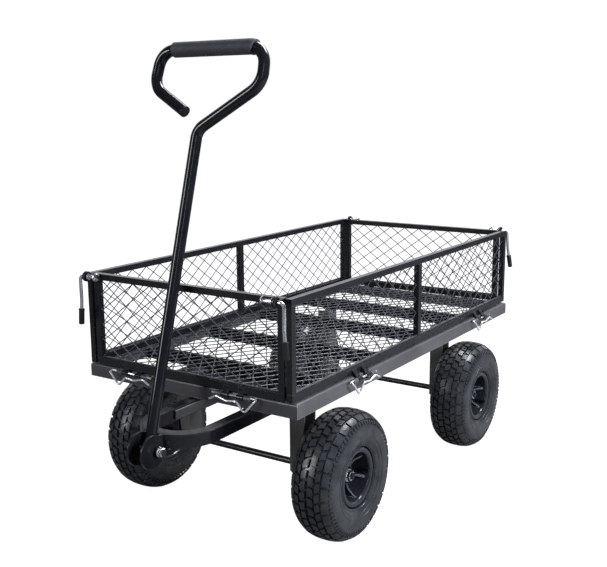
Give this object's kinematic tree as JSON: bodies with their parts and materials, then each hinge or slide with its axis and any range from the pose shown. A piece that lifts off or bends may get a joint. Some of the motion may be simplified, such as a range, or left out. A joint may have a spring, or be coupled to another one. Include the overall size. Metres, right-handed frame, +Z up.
{
  "type": "garden cart",
  "caption": "Steel garden cart with a mesh floor, fold-down mesh panels, a steered front axle, pneumatic tyres and a loop pull handle.",
  "frame": {"origin": "middle of the cart's footprint, on the ground", "axes": "+Z up; the handle end faces -Y, so +Y runs to the rear; +X is the cart's right-hand side as seen from the front of the tray, looking along +Y"},
  "size_m": [0.5644, 1.1572, 0.9455],
  "materials": {
    "tray_paint": "satin powder coat, charcoal",
    "panel_paint": "satin powder coat, black",
    "handle_paint": "semi-gloss powder coat, black",
    "running_gear_paint": "semi-gloss powder coat, black",
    "wire_mesh": "satin coated wire, black",
    "zinc": "bright zinc plate",
    "tyre": "matte ribbed rubber",
    "rim": "gloss black enamel",
    "plastic": "moulded black plastic",
    "latch_sleeve": "dipped black sleeve",
    "grip_foam": "closed-cell foam, matte"
  },
  "bodies": {
    "chassis": {"tray_frame": "tray_paint", "cross_bar_1": "tray_paint", "cross_bar_2": "tray_paint", "cross_bar_3": "tray_paint", "cross_bar_4": "tray_paint", "floor_mesh": "wire_mesh", "turntable_upper": "running_gear_paint", "kingpin": "zinc", "rear_leg_left": "running_gear_paint", "rear_leg_right": "running_gear_paint", "rear_axle": "running_gear_paint", "hinge_clip_left_1": "zinc", "hinge_clip_left_2": "zinc", "hinge_clip_right_1": "zinc", "hinge_clip_right_2": "zinc", "hinge_clip_front_1": "zinc", "hinge_clip_front_2": "zinc", "hinge_clip_rear_1": "zinc", "hinge_clip_rear_2": "zinc", "front_panel_frame": "panel_paint", "front_panel_mesh": "wire_mesh"},
    "steering": {"turntable_lower": "running_gear_paint", "steering_beam": "running_gear_paint", "front_leg_left": "running_gear_paint", "front_leg_right": "running_gear_paint", "front_axle": "running_gear_paint", "tongue": "running_gear_paint", "hitch_bolt": "zinc"},
    "handle": {"handle_tube": "handle_paint", "handle_grip": "grip_foam", "handle_end_plug": "plastic"},
    "wheel_front_left": {"tyre_front_left": "tyre", "rim_front_left": "rim", "hub_front_left": "plastic"},
    "wheel_front_right": {"tyre_front_right": "tyre", "rim_front_right": "rim", "hub_front_right": "plastic"},
    "wheel_rear_left": {"tyre_rear_left": "tyre", "rim_rear_left": "rim", "hub_rear_left": "plastic"},
    "wheel_rear_right": {"tyre_rear_right": "tyre", "rim_rear_right": "rim", "hub_rear_right": "plastic"},
    "side_panel_left": {"side_panel_frame_left": "panel_paint", "side_panel_mesh_left_front": "wire_mesh", "side_panel_mesh_left_rear": "wire_mesh"},
    "side_panel_right": {"side_panel_frame_right": "panel_paint", "side_panel_mesh_right_front": "wire_mesh", "side_panel_mesh_right_rear": "wire_mesh"},
    "rear_panel": {"rear_panel_frame": "panel_paint", "rear_panel_mesh": "wire_mesh"},
    "latch_front_left": {"latch_rod_front_left": "zinc", "latch_sleeve_front_left": "latch_sleeve"},
    "latch_front_right": {"latch_rod_front_right": "zinc", "latch_sleeve_front_right": "latch_sleeve"},
    "latch_rear_left": {"latch_rod_rear_left": "zinc", "latch_sleeve_rear_left": "latch_sleeve"},
    "latch_rear_right": {"latch_rod_rear_right": "zinc", "latch_sleeve_rear_right": "latch_sleeve"}
  },
  "joints": [
    {"name": "steering_turn", "type": "hinge", "parent": "chassis", "child": "steering", "pos_m": [0, -0.25803, 0.2824], "axis": [0, 0, 1], "range_deg": [-17, 17]},
    {"name": "handle_tilt", "type": "hinge", "parent": "steering", "child": "handle", "pos_m": [0, -0.53923, 0.222], "axis": [1, 0, 0], "range_deg": [0, 118]},
    {"name": "wheel_front_left_spin", "type": "hinge", "parent": "steering", "child": "wheel_front_left", "pos_m": [-0.2357, -0.25803, 0.128], "axis": [1, 0, 0], "continuous": true},
    {"name": "wheel_front_right_spin", "type": "hinge", "parent": "steering", "child": "wheel_front_right", "pos_m": [0.2357, -0.25803, 0.128], "axis": [1, 0, 0], "continuous": true},
    {"name": "wheel_rear_left_spin", "type": "hinge", "parent": "chassis", "child": "wheel_rear_left", "pos_m": [-0.2357, 0.32867, 0.128], "axis": [1, 0, 0], "continuous": true},
    {"name": "wheel_rear_right_spin", "type": "hinge", "parent": "chassis", "child": "wheel_rear_right", "pos_m": [0.2357, 0.32867, 0.128], "axis": [1, 0, 0], "continuous": true},
    {"name": "side_panel_left_fold", "type": "hinge", "parent": "chassis", "child": "side_panel_left", "pos_m": [-0.258, 0.05157, 0.314], "axis": [0, -1, 0], "range_deg": [0, 150]},
    {"name": "side_panel_right_fold", "type": "hinge", "parent": "chassis", "child": "side_panel_right", "pos_m": [0.258, 0.05157, 0.314], "axis": [0, 1, 0], "range_deg": [0, 150]},
    {"name": "rear_panel_fold", "type": "hinge", "parent": "chassis", "child": "rear_panel", "pos_m": [0, 0.54207, 0.314], "axis": [-1, 0, 0], "range_deg": [0, 160]},
    {"name": "latch_front_left_swing", "type": "hinge", "parent": "chassis", "child": "latch_front_left", "pos_m": [-0.225, -0.45643, 0.503], "axis": [-1, 0, 0], "range_deg": [0, 100]},
    {"name": "latch_front_right_swing", "type": "hinge", "parent": "chassis", "child": "latch_front_right", "pos_m": [0.225, -0.45643, 0.503], "axis": [-1, 0, 0], "range_deg": [0, 100]},
    {"name": "latch_rear_left_swing", "type": "hinge", "parent": "rear_panel", "child": "latch_rear_left", "pos_m": [-0.225, 0.54907, 0.503], "axis": [1, 0, 0], "range_deg": [0, 100]},
    {"name": "latch_rear_right_swing", "type": "hinge", "parent": "rear_panel", "child": "latch_rear_right", "pos_m": [0.225, 0.54907, 0.503], "axis": [1, 0, 0], "range_deg": [0, 100]}
  ]
}
